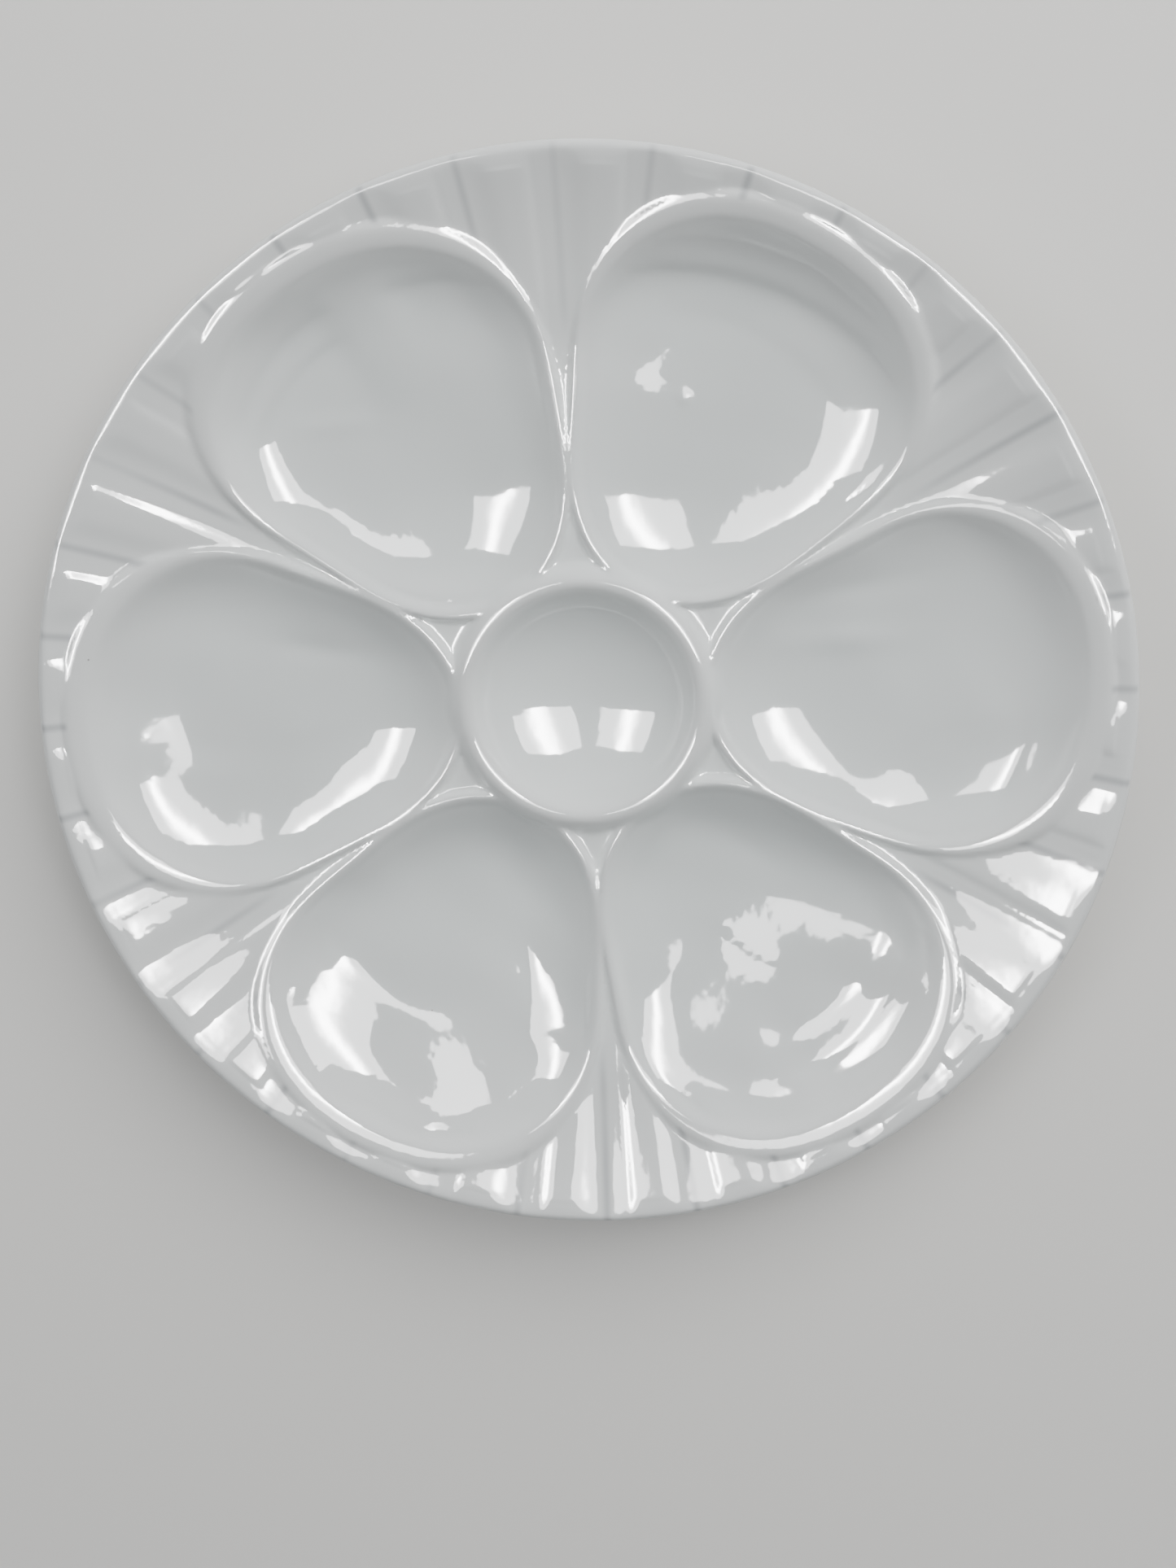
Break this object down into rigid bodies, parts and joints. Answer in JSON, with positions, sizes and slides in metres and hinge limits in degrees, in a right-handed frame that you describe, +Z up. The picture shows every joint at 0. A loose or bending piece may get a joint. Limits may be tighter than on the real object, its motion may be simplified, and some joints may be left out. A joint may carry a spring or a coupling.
{
  "type": "oyster plate",
  "caption": "Round fluted serving plate in white glazed porcelain, with shell-shaped wells pressed round a central sauce cup and a foot ring underneath.",
  "frame": {"origin": "centre of the plane that the foot ring stands on", "axes": "+Z up out of the wells, +X through the middle of the first well; the plate lies flat"},
  "size_m": [0.24, 0.24, 0.027],
  "materials": {
    "glazed_porcelain": "glossy white glaze, unglazed only on the tread of the foot ring"
  },
  "bodies": {
    "root": {"plate": "glazed_porcelain"}
  },
  "joints": []
}
